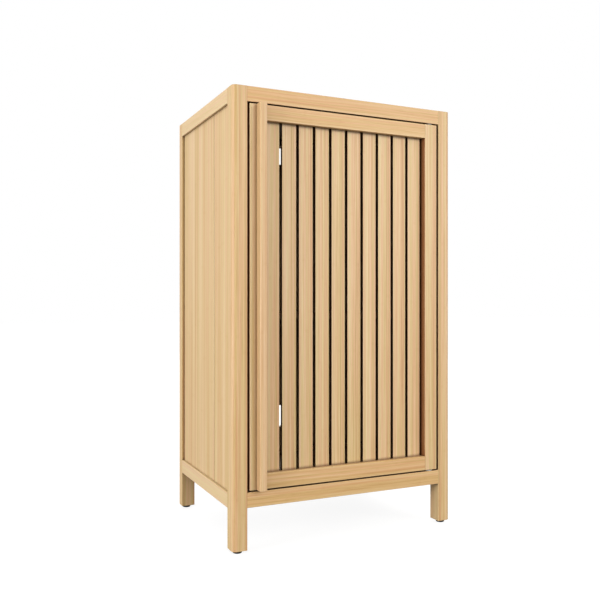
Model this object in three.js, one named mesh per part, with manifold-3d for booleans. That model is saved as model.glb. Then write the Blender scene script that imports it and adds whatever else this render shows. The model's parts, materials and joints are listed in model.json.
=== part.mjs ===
// Free-standing slatted bamboo cabinet: a post-and-rail carcass on four legs, one shelf,
// and one inset door that turns on hidden pivot pins at its right-hand stile.
// Millimetres. +Z is up, -Y is the front, +X is the viewer's right.
// The origin is on the floor, at the centre of the whole footprint, handle bar included.
import * as THREE from "three";
import { mergeVertices } from "three/addons/utils/BufferGeometryUtils.js";
import Module from "manifold-3d";

const wasm = await Module();
wasm.setup();

// ---- Driving dimensions: carcass ----
const WIDTH = 420;              // over the posts
const BODY_DEPTH = 315;         // front of the posts to the back of the posts
const HEIGHT = 750;             // floor to the top of the posts
const POST = 25;                // side of a square post, and depth of a carcass rail
const POST_ROUND = 8;           // radius of a post's outer vertical corner
const RAIL = 25;                // height of a carcass rail
const FRONT_CLEARANCE = 73;     // floor to the front and rear bottom rails
const SIDE_RAIL_DROP = 3;       // side bottom rails below the front one
const TENON_THICKNESS = 10;     // stub tenon on each end of a rail
const TENON_WALL = 0.5;         // wood between a tenon and a panel groove
const MORTISE_WALL = 1;         // wood between the two mortises that meet in a post
const FIT = 0.25;               // slack on each side of a tenon, tongue or plug
const GROOVE_DEPTH = 5;         // grooves that hold the panels
const PAD_DIAMETER = 15;        // plastic glide under each post
const PAD_HEIGHT = 5;
const PAD_EDGE = 1;             // bevel round the glide's foot
const PAD_PLUG_DIAMETER = 6;
const PAD_PLUG_LENGTH = 12;

// ---- Driving dimensions: panels and shelf ----
const SIDE_PANEL_THICKNESS = 10;
const SIDE_PANEL_SETBACK = 5;   // outer face of the side panel behind the post's face
const FRONT_BOARD_WIDTH = 83;   // width in view of the front board of each side panel
const BACK_PANEL_THICKNESS = 6;
const BACK_PANEL_SETBACK = 5;
const SLOT_WIDTH = 20;          // cable slot and cable notch in the back panel
const SLOT_HEIGHT = 44;
const SLOT_ROUND = 6;
const LOWER_SLOT_FLOOR = 143;   // height of the lower slot's bottom edge
const NOTCH_DROP = 36;          // how far the upper notch reaches below the rear top rail
const TOP_PANEL_THICKNESS = 12;
const REBATE_WIDTH = 6;         // ledge in the top rails that carries the top panel
const BOTTOM_PANEL_THICKNESS = 10;
const BOTTOM_PANEL_RISE = 5;    // its underside above the front bottom rail's underside
const SHELF_THICKNESS = 12;
const SHELF_UNDER = 373;        // height of the shelf's underside
const SHELF_SETBACK = 30;       // shelf's front edge behind the front of the posts
const SHELF_SIDE_GAP = 1;
const SHELF_BACK_GAP = 2;
const SHELF_PIN_DIAMETER = 6;
const SHELF_PIN_BORE = 8;       // how deep a pin sits in the side panel
const SHELF_PIN_REACH = 12;     // how far a pin stands out of the side panel
const SHELF_PIN_INSET = 45;     // pin's centre from the shelf's front or back edge

// ---- Driving dimensions: door ----
const DOOR_THICKNESS = 18;
const DOOR_SIDE_GAP = 4;
const DOOR_END_GAP = 2.25;      // above and below the door
const DOOR_STILE = 25;
const DOOR_RAIL = 25;
const DOOR_TENON_HEIGHT = 15;
const DOOR_TENON_THICKNESS = 4;
const DOOR_TENON_SETBACK = 3;   // from the door's front face to the tenon's front face
const SLAT_COUNT = 10;
const SLAT_WIDTH = 25.5;
const SLAT_THICKNESS = 6;
const SLAT_BACKING = 2.5;       // wood behind the slats' groove
const SLAT_TONGUE = 4.5;        // length of slat held in each door rail
const BAR_WIDTH = 13;           // pull bar down the whole door
const BAR_DEPTH = 15;
const BAR_ROUND = 2.5;
const SCREW_LENGTH = 27;        // screws that hold the pull bar, put in from behind
const SCREW_SHANK = 4;
const SCREW_HEAD = 8;
const SCREW_HEAD_DEPTH = 3;
const SCREW_SLACK = 0.2;        // between the screw and its hole
const HEAD_RIM = 0.5;           // straight rim above a screw head's cone
const BAR_SCREW_INSET = 60;     // first and last bar screw from the door's ends

// ---- Driving dimensions: pivots and catch ----
const PIVOT_DIAMETER = 6;
const PIVOT_SETBACK = 9;        // pivot axis behind the door's front face
const PIVOT_BURIED = 20;        // length of pin inside the stile
const PIVOT_EXPOSED = 8;        // length of pin beyond the stile's end
const PIVOT_CHAMFER = 1;
const PIVOT_WALL = 1.5;         // wood between the pin and the door rail's tenon
const PIVOT_COLLAR_DIAMETER = 11;
const PIVOT_COLLAR_HEIGHT = 0.75;
const BUSH_OUTER = 10;
const BUSH_LENGTH = 9;
const BUSH_FLANGE = 14;
const BUSH_FLANGE_HEIGHT = 1;
const BUSH_CLEARANCE = 0.15;    // between the pin and the bush's bore
const CATCH_WIDTH = 36;
const CATCH_DEPTH = 13;         // catch body behind the front top rail
const CATCH_FLANGE = 3;         // thickness of the catch's screwed flange
const CATCH_HEADROOM = 1;       // between the catch and the top panel
const CATCH_FROM_STILE = 20;    // catch body beyond the handle-side door stile
const CATCH_NOSE_HEIGHT = 18;
const CATCH_SCREW_SPREAD = 22;
const CATCH_SCREW_DROP = 6;     // screw centre below the catch's top
const MAGNET_WIDTH = 22;
const MAGNET_HEIGHT = 8;
const MAGNET_DEPTH = 9;
const MAGNET_GAP = 0.3;         // between the magnet and the strike plate
const STRIKE_WIDTH = 34;
const STRIKE_HEIGHT = 14;
const STRIKE_THICKNESS = 0.75;
const STRIKE_DROP = 9.75;       // its centre below the door's top
const STRIKE_SCREW_SPREAD = 26;
const STRIKE_SCREW_LENGTH = 9;
const CATCH_SCREW_LENGTH = 12;
const SMALL_SCREW_SHANK = 3;
const SMALL_SCREW_HEAD = 6;
const SMALL_SCREW_HEAD_DEPTH = 1.5;
const ROUND_SIDES = 24;         // facets round a small turned piece
const CUT_MARGIN = 1;           // how far a cutting tool passes the face it opens

// ---- Places that follow from the driving dimensions ----
const LEFT = -WIDTH / 2;
const RIGHT = WIDTH / 2;
const FRONT = BAR_DEPTH - (BODY_DEPTH + BAR_DEPTH) / 2;
const BACK = FRONT + BODY_DEPTH;
const INNER_LEFT = LEFT + POST;
const INNER_RIGHT = RIGHT - POST;
const INNER_FRONT = FRONT + POST;
const INNER_BACK = BACK - POST;
const TOP_RAIL_UNDER = HEIGHT - RAIL;
const FRONT_RAIL_TOP = FRONT_CLEARANCE + RAIL;
const SIDE_CLEARANCE = FRONT_CLEARANCE - SIDE_RAIL_DROP;
const SIDE_RAIL_TOP = SIDE_CLEARANCE + RAIL;
const TENON_HEIGHT = RAIL - 2 * (GROOVE_DEPTH + TENON_WALL);
const TENON_LENGTH = (POST - TENON_THICKNESS) / 2 - 2 * FIT - MORTISE_WALL;
const TONGUE = GROOVE_DEPTH - FIT;
const PANEL_INSIDE = SIDE_PANEL_SETBACK + SIDE_PANEL_THICKNESS;
const SHELF_FRONT = FRONT + SHELF_SETBACK;
const SHELF_BACK = BACK - BACK_PANEL_SETBACK - BACK_PANEL_THICKNESS - SHELF_BACK_GAP;
const PIN_HEIGHT = SHELF_UNDER - SHELF_PIN_DIAMETER / 2;
const PIN_PLACES = { front: SHELF_FRONT + SHELF_PIN_INSET, rear: SHELF_BACK - SHELF_PIN_INSET };
const BOTTOM_PANEL_UNDER = FRONT_CLEARANCE + BOTTOM_PANEL_RISE;

const DOOR_LEFT = INNER_LEFT + DOOR_SIDE_GAP;
const DOOR_RIGHT = INNER_RIGHT - DOOR_SIDE_GAP;
const DOOR_BACK = FRONT + DOOR_THICKNESS;
const DOOR_BOTTOM = FRONT_RAIL_TOP + DOOR_END_GAP;
const DOOR_TOP = TOP_RAIL_UNDER - DOOR_END_GAP;
const DOOR_FIELD_LEFT = DOOR_LEFT + DOOR_STILE;
const DOOR_FIELD_RIGHT = DOOR_RIGHT - DOOR_STILE;
const DOOR_FIELD_BOTTOM = DOOR_BOTTOM + DOOR_RAIL;
const DOOR_FIELD_TOP = DOOR_TOP - DOOR_RAIL;
const BAR_CENTRE = DOOR_FIELD_LEFT - BAR_WIDTH / 2;
const PIVOT_X = DOOR_RIGHT - DOOR_STILE / 2;
const PIVOT_Y = FRONT + PIVOT_SETBACK;
const DOOR_TENON_LENGTH = (DOOR_STILE - PIVOT_DIAMETER) / 2 - PIVOT_WALL;
const SLAT_SETBACK = DOOR_THICKNESS - SLAT_BACKING - SLAT_THICKNESS;
const CATCH_CENTRE = DOOR_FIELD_LEFT + CATCH_FROM_STILE + CATCH_WIDTH / 2;
const CATCH_TOP = HEIGHT - TOP_PANEL_THICKNESS - CATCH_HEADROOM;
const STRIKE_FACE = DOOR_BACK + STRIKE_THICKNESS;
const MAGNET_FACE = STRIKE_FACE + MAGNET_GAP;
const MAGNET_MIDDLE = DOOR_TOP - STRIKE_DROP;

// ---- Materials ----
const frameBamboo = new THREE.MeshStandardMaterial({ color: 0xdcbc8c, roughness: 0.5 });
const panelBamboo = new THREE.MeshStandardMaterial({ color: 0xe2c59c, roughness: 0.5 });
const slatBamboo = new THREE.MeshStandardMaterial({ color: 0xd8b686, roughness: 0.5 });
const blackPlastic = new THREE.MeshStandardMaterial({ color: 0x151515, roughness: 0.6 });
const whitePlastic = new THREE.MeshStandardMaterial({ color: 0xe8e6df, roughness: 0.5 });
const steel = new THREE.MeshStandardMaterial({ color: 0xb9babc, roughness: 0.3, metalness: 1 });
const ferrite = new THREE.MeshStandardMaterial({ color: 0x3a3a3c, roughness: 0.6 });

// ---- Solids ----
function solidOf(geometry) {
  geometry.deleteAttribute("normal");
  geometry.deleteAttribute("uv");
  const merged = mergeVertices(geometry);
  return new wasm.Manifold(new wasm.Mesh({
    numProp: 3,
    vertProperties: merged.attributes.position.array,
    triVerts: Uint32Array.from(merged.index.array),
  }));
}

function geometryOf(solid) {
  const mesh = solid.getMesh();
  const geometry = new THREE.BufferGeometry();
  geometry.setAttribute("position", new THREE.BufferAttribute(mesh.vertProperties, 3));
  geometry.setIndex(new THREE.BufferAttribute(mesh.triVerts, 1));
  const faceted = geometry.toNonIndexed();
  faceted.computeVertexNormals();
  return faceted;
}

// A block between two values on each axis, in either order, with its corners exactly there.
function block(x, y, z) {
  const geometry = new THREE.BoxGeometry(1, 1, 1);
  const corners = geometry.attributes.position;
  const pick = (range, side) => (side < 0 ? Math.min(...range) : Math.max(...range));
  for (let i = 0; i < corners.count; i += 1) {
    corners.setXYZ(
      i,
      pick(x, corners.getX(i)),
      pick(y, corners.getY(i)),
      pick(z, corners.getZ(i)),
    );
  }
  return solidOf(geometry);
}

// A turned piece: [radius, distance] pairs along the axis, which starts at a point and runs
// up (+Z), down (-Z) or to the back (+Y).
function turned(profile, [x, y, z], axis = "up") {
  const points = profile.map(([radius, along]) => new THREE.Vector2(radius, along));
  const geometry = new THREE.LatheGeometry(points, ROUND_SIDES);
  if (axis === "up") geometry.rotateX(Math.PI / 2);
  if (axis === "down") geometry.rotateX(-Math.PI / 2);
  geometry.translate(x, y, z);
  return solidOf(geometry);
}

const rod = (radius, from, to) => [[0, from], [radius, from], [radius, to], [0, to]];

// A round rod across the cabinet, along X.
function acrossRod(radius, fromX, toX, y, z) {
  const geometry = new THREE.CylinderGeometry(radius, radius, Math.abs(toX - fromX), ROUND_SIDES);
  geometry.rotateZ(Math.PI / 2);
  geometry.translate((fromX + toX) / 2, y, z);
  return solidOf(geometry);
}

const cutAll = (solid, tools) => tools.reduce((rest, tool) => rest.subtract(tool), solid);
const widen = ([from, to], by) => [from - by, to + by];
const around = (middle, size) => [middle - size / 2, middle + size / 2];

// A rectangle with round corners, centred on the origin.
function roundedOutline(width, height, radius) {
  const [w, h] = [width / 2 - radius, height / 2 - radius];
  const shape = new THREE.Shape();
  shape.absarc(w, h, radius, 0, Math.PI / 2);
  shape.absarc(-w, h, radius, Math.PI / 2, Math.PI);
  shape.absarc(-w, -h, radius, Math.PI, 1.5 * Math.PI);
  shape.absarc(w, -h, radius, 1.5 * Math.PI, 2 * Math.PI);
  shape.closePath();
  return shape;
}

const cabinet = new THREE.Group();
const carcass = new THREE.Group();
const door = new THREE.Group();
cabinet.add(carcass, door);

function addPart(group, name, solid, material) {
  const mesh = new THREE.Mesh(geometryOf(solid), material);
  mesh.name = name;
  group.add(mesh);
}

// ---- Corners: each is a post's outer corner, the directions inwards, and its quarter turns ----
const CORNERS = {
  front_left: { x: LEFT, y: FRONT, inX: 1, inY: 1, turn: 0 },
  front_right: { x: RIGHT, y: FRONT, inX: -1, inY: 1, turn: 1 },
  rear_right: { x: RIGHT, y: BACK, inX: -1, inY: -1, turn: 2 },
  rear_left: { x: LEFT, y: BACK, inX: 1, inY: -1, turn: 3 },
};

// ---- Sides: each is the posts' outer face and the direction inwards ----
const SIDES = { left: { x: LEFT, inX: 1 }, right: { x: RIGHT, inX: -1 } };

// ---- Spans that several pieces share ----
const betweenPostsX = [INNER_LEFT, INNER_RIGHT];
const betweenPostsY = [INNER_FRONT, INNER_BACK];
const backPanelSpan = [BACK - BACK_PANEL_SETBACK - BACK_PANEL_THICKNESS, BACK - BACK_PANEL_SETBACK];
const bottomPanelHeights = [BOTTOM_PANEL_UNDER, BOTTOM_PANEL_UNDER + BOTTOM_PANEL_THICKNESS];
const rebateHeights = [HEIGHT - TOP_PANEL_THICKNESS, HEIGHT];
const tenonHeights = (railUnder) => around(railUnder + RAIL / 2, TENON_HEIGHT);
const sideGrooveSpan = ({ x, inX }) =>
  [x + inX * (SIDE_PANEL_SETBACK - FIT), x + inX * (PANEL_INSIDE + FIT)];

// ---- Posts and their glides ----
function postBlank({ x, y, turn }) {
  const outline = new THREE.Shape();
  outline.moveTo(POST, 0);
  outline.lineTo(POST, POST);
  outline.lineTo(0, POST);
  outline.absarc(POST_ROUND, POST_ROUND, POST_ROUND, Math.PI, 1.5 * Math.PI);
  outline.closePath();
  const depth = HEIGHT - PAD_HEIGHT;
  const geometry = new THREE.ExtrudeGeometry(outline, { depth, bevelEnabled: false, curveSegments: 8 });
  geometry.rotateZ(turn * Math.PI / 2);
  geometry.translate(x, y, PAD_HEIGHT);
  return solidOf(geometry);
}

function mortises({ x, y, inX, inY }) {
  const innerX = x + inX * POST;
  const innerY = y + inY * POST;
  const reach = TENON_LENGTH + FIT;
  const acrossX = widen(around(x + inX * POST / 2, TENON_THICKNESS), FIT);
  const acrossY = widen(around(y + inY * POST / 2, TENON_THICKNESS), FIT);
  const crossRails = [FRONT_CLEARANCE, TOP_RAIL_UNDER].map((under) =>
    block([innerX, innerX - inX * reach], acrossY, widen(tenonHeights(under), FIT)));
  const sideRails = [SIDE_CLEARANCE, TOP_RAIL_UNDER].map((under) =>
    block(acrossX, [innerY, innerY - inY * reach], widen(tenonHeights(under), FIT)));
  return [...crossRails, ...sideRails];
}

function sidePanelGroove(corner) {
  const innerY = corner.y + corner.inY * POST;
  return block(
    sideGrooveSpan(corner),
    [innerY, innerY - corner.inY * GROOVE_DEPTH],
    [SIDE_RAIL_TOP - GROOVE_DEPTH, TOP_RAIL_UNDER + GROOVE_DEPTH],
  );
}

function backPanelGroove({ x, inX }) {
  const innerX = x + inX * POST;
  return block(
    [innerX, innerX - inX * GROOVE_DEPTH],
    widen(backPanelSpan, FIT),
    [FRONT_RAIL_TOP - GROOVE_DEPTH, TOP_RAIL_UNDER + GROOVE_DEPTH],
  );
}

// A glide is a round pad with a plug that is pressed up into the post.
function footPad(centre) {
  const radius = PAD_DIAMETER / 2;
  const plugRadius = PAD_PLUG_DIAMETER / 2;
  const plugTop = PAD_HEIGHT + PAD_PLUG_LENGTH;
  const profile = [
    [0, 0], [radius - PAD_EDGE, 0], [radius, PAD_EDGE], [radius, PAD_HEIGHT],
    [plugRadius, PAD_HEIGHT], [plugRadius, plugTop], [0, plugTop],
  ];
  return turned(profile, [...centre, 0]);
}

function addPosts() {
  const plugBore = rod(PAD_PLUG_DIAMETER / 2 + FIT, 0, PAD_HEIGHT + PAD_PLUG_LENGTH + FIT);
  for (const [name, corner] of Object.entries(CORNERS)) {
    const centre = [corner.x + corner.inX * POST / 2, corner.y + corner.inY * POST / 2];
    const cuts = [...mortises(corner), sidePanelGroove(corner), turned(plugBore, [...centre, 0])];
    if (corner.y === BACK) cuts.push(backPanelGroove(corner));
    addPart(carcass, `${name}_post`, cutAll(postBlank(corner), cuts), frameBamboo);
    addPart(carcass, `${name}_foot_pad`, footPad(centre), blackPlastic);
  }
}

// ---- Rails ----
function crossRail(yRange, under) {
  const middle = (yRange[0] + yRange[1]) / 2;
  const body = block(betweenPostsX, yRange, [under, under + RAIL]);
  const tenonSpan = around(middle, TENON_THICKNESS);
  return body.add(block(widen(betweenPostsX, TENON_LENGTH), tenonSpan, tenonHeights(under)));
}

function sideRail(xRange, under) {
  const middle = (xRange[0] + xRange[1]) / 2;
  const body = block(xRange, betweenPostsY, [under, under + RAIL]);
  const tenonSpan = around(middle, TENON_THICKNESS);
  return body.add(block(tenonSpan, widen(betweenPostsY, TENON_LENGTH), tenonHeights(under)));
}

const floorGroove = widen(bottomPanelHeights, FIT);

function bushBore(railFace, direction) {
  const bore = rod(BUSH_OUTER / 2 + FIT, 0, BUSH_LENGTH + FIT);
  return turned(bore, [PIVOT_X, PIVOT_Y, railFace], direction);
}

function addFrontRails() {
  const span = [FRONT, INNER_FRONT];
  const top = cutAll(crossRail(span, TOP_RAIL_UNDER), [
    block(betweenPostsX, [INNER_FRONT - REBATE_WIDTH, INNER_FRONT], rebateHeights),
    bushBore(TOP_RAIL_UNDER, "up"),
    ...catchScrews(SCREW_SLACK),
  ]);
  const bottom = cutAll(crossRail(span, FRONT_CLEARANCE), [
    block(betweenPostsX, [INNER_FRONT - GROOVE_DEPTH, INNER_FRONT], floorGroove),
    bushBore(FRONT_RAIL_TOP, "down"),
  ]);
  addPart(carcass, "front_top_rail", top, frameBamboo);
  addPart(carcass, "front_bottom_rail", bottom, frameBamboo);
}

function addRearRails() {
  const span = [INNER_BACK, BACK];
  const panelSpan = widen(backPanelSpan, FIT);
  const top = cutAll(crossRail(span, TOP_RAIL_UNDER), [
    block(betweenPostsX, [INNER_BACK, INNER_BACK + REBATE_WIDTH], rebateHeights),
    block(betweenPostsX, panelSpan, [TOP_RAIL_UNDER, TOP_RAIL_UNDER + GROOVE_DEPTH]),
  ]);
  const bottom = cutAll(crossRail(span, FRONT_CLEARANCE), [
    block(betweenPostsX, [INNER_BACK, INNER_BACK + GROOVE_DEPTH], floorGroove),
    block(betweenPostsX, panelSpan, [FRONT_RAIL_TOP - GROOVE_DEPTH, FRONT_RAIL_TOP]),
  ]);
  addPart(carcass, "rear_top_rail", top, frameBamboo);
  addPart(carcass, "rear_bottom_rail", bottom, frameBamboo);
}

function addSideRails() {
  for (const [name, side] of Object.entries(SIDES)) {
    const innerX = side.x + side.inX * POST;
    const ledge = [innerX, innerX - side.inX * REBATE_WIDTH];
    const groove = [innerX, innerX - side.inX * GROOVE_DEPTH];
    const panelSpan = sideGrooveSpan(side);
    const top = cutAll(sideRail([side.x, innerX], TOP_RAIL_UNDER), [
      block(ledge, betweenPostsY, rebateHeights),
      block(panelSpan, betweenPostsY, [TOP_RAIL_UNDER, TOP_RAIL_UNDER + GROOVE_DEPTH]),
    ]);
    const bottom = cutAll(sideRail([side.x, innerX], SIDE_CLEARANCE), [
      block(groove, betweenPostsY, floorGroove),
      block(panelSpan, betweenPostsY, [SIDE_RAIL_TOP - GROOVE_DEPTH, SIDE_RAIL_TOP]),
    ]);
    addPart(carcass, `${name}_top_rail`, top, frameBamboo);
    addPart(carcass, `${name}_bottom_rail`, bottom, frameBamboo);
  }
}

// ---- Side panels: two boards edge to edge, each drilled for one shelf pin ----
function addSidePanels() {
  const joint = INNER_FRONT + FRONT_BOARD_WIDTH;
  const boards = {
    front: { y: [INNER_FRONT - TONGUE, joint], pinY: PIN_PLACES.front },
    rear: { y: [joint, INNER_BACK + TONGUE], pinY: PIN_PLACES.rear },
  };
  const heights = [SIDE_RAIL_TOP - TONGUE, TOP_RAIL_UNDER + TONGUE];
  for (const [side, { x, inX }] of Object.entries(SIDES)) {
    const outer = x + inX * SIDE_PANEL_SETBACK;
    const inner = x + inX * PANEL_INSIDE;
    const boreEnd = inner - inX * (SHELF_PIN_BORE + FIT);
    const pinEnds = [inner - inX * SHELF_PIN_BORE, inner + inX * SHELF_PIN_REACH];
    for (const [place, { y, pinY }] of Object.entries(boards)) {
      const bore = acrossRod(SHELF_PIN_DIAMETER / 2 + FIT, boreEnd, inner + inX, pinY, PIN_HEIGHT);
      const board = block([outer, inner], y, heights).subtract(bore);
      const pin = acrossRod(SHELF_PIN_DIAMETER / 2, ...pinEnds, pinY, PIN_HEIGHT);
      addPart(carcass, `${side}_side_${place}_board`, board, panelBamboo);
      addPart(carcass, `${side}_${place}_shelf_pin`, pin, steel);
    }
  }
}

// ---- Back panel: a closed cable slot low down, and a notch open at the top edge ----
function slotThrough(width, height, centreZ) {
  const outline = roundedOutline(width, height, SLOT_ROUND);
  const depth = BACK_PANEL_THICKNESS + 2 * CUT_MARGIN;
  const geometry = new THREE.ExtrudeGeometry(outline, { depth, bevelEnabled: false, curveSegments: 5 });
  geometry.rotateX(Math.PI / 2);
  geometry.translate(0, backPanelSpan[1] + CUT_MARGIN, centreZ);
  return solidOf(geometry);
}

function addBackPanel() {
  const heights = [FRONT_RAIL_TOP - TONGUE, TOP_RAIL_UNDER + TONGUE];
  const notchFloor = TOP_RAIL_UNDER - NOTCH_DROP;
  const notchHeight = 2 * (heights[1] + SLOT_ROUND - notchFloor);
  const panel = cutAll(block(widen(betweenPostsX, TONGUE), backPanelSpan, heights), [
    slotThrough(SLOT_WIDTH, SLOT_HEIGHT, LOWER_SLOT_FLOOR + SLOT_HEIGHT / 2),
    slotThrough(SLOT_WIDTH, notchHeight, notchFloor + notchHeight / 2),
  ]);
  addPart(carcass, "back_panel", panel, panelBamboo);
}

// ---- Top, bottom and shelf: boards with a notch at each post ----
function notchedBoard(x, y, heights, slack) {
  const notches = Object.values(CORNERS).map((corner) => block(
    [corner.x, corner.x + corner.inX * (POST + slack)],
    [corner.y, corner.y + corner.inY * (POST + slack)],
    widen(heights, CUT_MARGIN),
  ));
  return cutAll(block(x, y, heights), notches);
}

function addTopAndBottomPanels() {
  const outline = (lap) => [widen(betweenPostsX, lap), widen(betweenPostsY, lap)];
  const top = notchedBoard(...outline(REBATE_WIDTH - FIT), rebateHeights, FIT);
  const bottom = notchedBoard(...outline(TONGUE), bottomPanelHeights, FIT);
  addPart(carcass, "top_panel", top, panelBamboo);
  addPart(carcass, "bottom_panel", bottom, panelBamboo);
}

function addShelf() {
  const sides = widen([LEFT + PANEL_INSIDE, RIGHT - PANEL_INSIDE], -SHELF_SIDE_GAP);
  const heights = [SHELF_UNDER, SHELF_UNDER + SHELF_THICKNESS];
  const shelf = notchedBoard(sides, [SHELF_FRONT, SHELF_BACK], heights, SHELF_SIDE_GAP);
  addPart(carcass, "shelf", shelf, panelBamboo);
}

// ---- Screws: countersunk, along +Y, from the tip to the head ----
function screw({ length, shank, head, headDepth }, [x, headFace, z], slack) {
  const radius = shank / 2 + slack;
  const headRadius = head / 2 + slack;
  const profile = [
    [0, -slack], [radius / 2, -slack], [radius, shank], [radius, length - headDepth],
    [headRadius, length - HEAD_RIM], [headRadius, length], [0, length],
  ];
  return turned(profile, [x, headFace - length, z], "back");
}

const smallScrew = { shank: SMALL_SCREW_SHANK, head: SMALL_SCREW_HEAD, headDepth: SMALL_SCREW_HEAD_DEPTH };
const spread = (distance) => around(CATCH_CENTRE, distance);

function barScrews(slack) {
  const form = {
    length: SCREW_LENGTH, shank: SCREW_SHANK, head: SCREW_HEAD, headDepth: SCREW_HEAD_DEPTH,
  };
  const ends = widen([DOOR_BOTTOM, DOOR_TOP], -BAR_SCREW_INSET);
  const heights = [ends[0], (ends[0] + ends[1]) / 2, ends[1]];
  return heights.map((height) => screw(form, [BAR_CENTRE, DOOR_BACK, height], slack));
}

function catchScrews(slack) {
  const form = { ...smallScrew, length: CATCH_SCREW_LENGTH };
  const headFace = INNER_FRONT + CATCH_FLANGE;
  const height = CATCH_TOP - CATCH_SCREW_DROP;
  return spread(CATCH_SCREW_SPREAD).map((x) => screw(form, [x, headFace, height], slack));
}

function strikeScrews(slack) {
  const form = { ...smallScrew, length: STRIKE_SCREW_LENGTH };
  return spread(STRIKE_SCREW_SPREAD).map((x) => screw(form, [x, STRIKE_FACE, MAGNET_MIDDLE], slack));
}

function addScrews(group, name, screws) {
  screws.forEach((solid, i) => addPart(group, `${name}_${i + 1}`, solid, steel));
}

// ---- Door frame ----
const doorTenonFront = FRONT + DOOR_TENON_SETBACK;
const doorTenonSpan = [doorTenonFront, doorTenonFront + DOOR_TENON_THICKNESS];
const doorTenonHeights = (under) => around(under + DOOR_RAIL / 2, DOOR_TENON_HEIGHT);
const doorField = [DOOR_FIELD_LEFT, DOOR_FIELD_RIGHT];
const slatSpan = [FRONT + SLAT_SETBACK, FRONT + SLAT_SETBACK + SLAT_THICKNESS];

function pivotBore(end, direction) {
  const bore = rod(PIVOT_DIAMETER / 2 + FIT, 0, PIVOT_BURIED + FIT);
  return turned(bore, [PIVOT_X, PIVOT_Y, end], direction);
}

function doorStile(across) {
  const mortiseSpan = widen(doorField, DOOR_TENON_LENGTH + FIT);
  const cuts = [DOOR_BOTTOM, DOOR_FIELD_TOP].map((under) =>
    block(mortiseSpan, widen(doorTenonSpan, FIT), widen(doorTenonHeights(under), FIT)));
  return cutAll(block(across, [FRONT, DOOR_BACK], [DOOR_BOTTOM, DOOR_TOP]), cuts);
}

function addDoorStiles() {
  const left = cutAll(doorStile([DOOR_LEFT, DOOR_FIELD_LEFT]), barScrews(SCREW_SLACK));
  const right = cutAll(doorStile([DOOR_FIELD_RIGHT, DOOR_RIGHT]), [
    pivotBore(DOOR_TOP, "down"),
    pivotBore(DOOR_BOTTOM, "up"),
  ]);
  addPart(door, "door_left_stile", left, frameBamboo);
  addPart(door, "door_right_stile", right, frameBamboo);
}

function doorRail(under, grooveHeights) {
  return block(doorField, [FRONT, DOOR_BACK], [under, under + DOOR_RAIL])
    .add(block(widen(doorField, DOOR_TENON_LENGTH), doorTenonSpan, doorTenonHeights(under)))
    .subtract(block(doorField, widen(slatSpan, FIT), grooveHeights));
}

function addDoorRails() {
  const groove = SLAT_TONGUE + FIT;
  const bottom = doorRail(DOOR_BOTTOM, [DOOR_FIELD_BOTTOM - groove, DOOR_FIELD_BOTTOM]);
  const top = doorRail(DOOR_FIELD_TOP, [DOOR_FIELD_TOP, DOOR_FIELD_TOP + groove]);
  addPart(door, "door_top_rail", cutAll(top, strikeScrews(SCREW_SLACK)), frameBamboo);
  addPart(door, "door_bottom_rail", bottom, frameBamboo);
}

function addSlats() {
  const field = DOOR_FIELD_RIGHT - DOOR_FIELD_LEFT;
  const gap = (field - SLAT_COUNT * SLAT_WIDTH) / (SLAT_COUNT + 1);
  const heights = widen([DOOR_FIELD_BOTTOM, DOOR_FIELD_TOP], SLAT_TONGUE);
  for (let i = 0; i < SLAT_COUNT; i += 1) {
    const start = DOOR_FIELD_LEFT + gap + i * (SLAT_WIDTH + gap);
    const slat = block([start, start + SLAT_WIDTH], slatSpan, heights);
    addPart(door, `door_slat_${String(i + 1).padStart(2, "0")}`, slat, slatBamboo);
  }
}

// The bar's two front edges are rounded; its back lies flat on the stile.
function addPullBar() {
  const half = BAR_WIDTH / 2;
  const outline = new THREE.Shape();
  outline.moveTo(half, 0);
  outline.lineTo(-half, 0);
  outline.absarc(BAR_ROUND - half, BAR_ROUND - BAR_DEPTH, BAR_ROUND, Math.PI, 1.5 * Math.PI);
  outline.absarc(half - BAR_ROUND, BAR_ROUND - BAR_DEPTH, BAR_ROUND, 1.5 * Math.PI, 2 * Math.PI);
  outline.closePath();
  const depth = DOOR_TOP - DOOR_BOTTOM;
  const geometry = new THREE.ExtrudeGeometry(outline, { depth, bevelEnabled: false, curveSegments: 5 });
  geometry.translate(BAR_CENTRE, FRONT, DOOR_BOTTOM);
  addPart(door, "pull_bar", cutAll(solidOf(geometry), barScrews(SCREW_SLACK)), frameBamboo);
  addScrews(door, "pull_bar_screw", barScrews(0));
}

// ---- Pivots: a pin in each end of the right stile turns in a flanged bush in the rail ----
function pivotPin(end, direction) {
  const radius = PIVOT_DIAMETER / 2;
  const collar = PIVOT_COLLAR_DIAMETER / 2;
  const profile = [
    [0, -PIVOT_BURIED], [radius, -PIVOT_BURIED], [radius, 0], [collar, 0],
    [collar, PIVOT_COLLAR_HEIGHT], [radius, PIVOT_COLLAR_HEIGHT],
    [radius, PIVOT_EXPOSED - PIVOT_CHAMFER], [radius - PIVOT_CHAMFER, PIVOT_EXPOSED],
    [0, PIVOT_EXPOSED],
  ];
  return turned(profile, [PIVOT_X, PIVOT_Y, end], direction);
}

function pivotBush(railFace, direction) {
  const bore = PIVOT_DIAMETER / 2 + BUSH_CLEARANCE;
  const flange = BUSH_FLANGE / 2;
  const profile = [
    [bore, -BUSH_FLANGE_HEIGHT], [flange, -BUSH_FLANGE_HEIGHT], [flange, 0],
    [BUSH_OUTER / 2, 0], [BUSH_OUTER / 2, BUSH_LENGTH], [bore, BUSH_LENGTH],
    [bore, -BUSH_FLANGE_HEIGHT],
  ];
  return turned(profile, [PIVOT_X, PIVOT_Y, railFace], direction);
}

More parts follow.
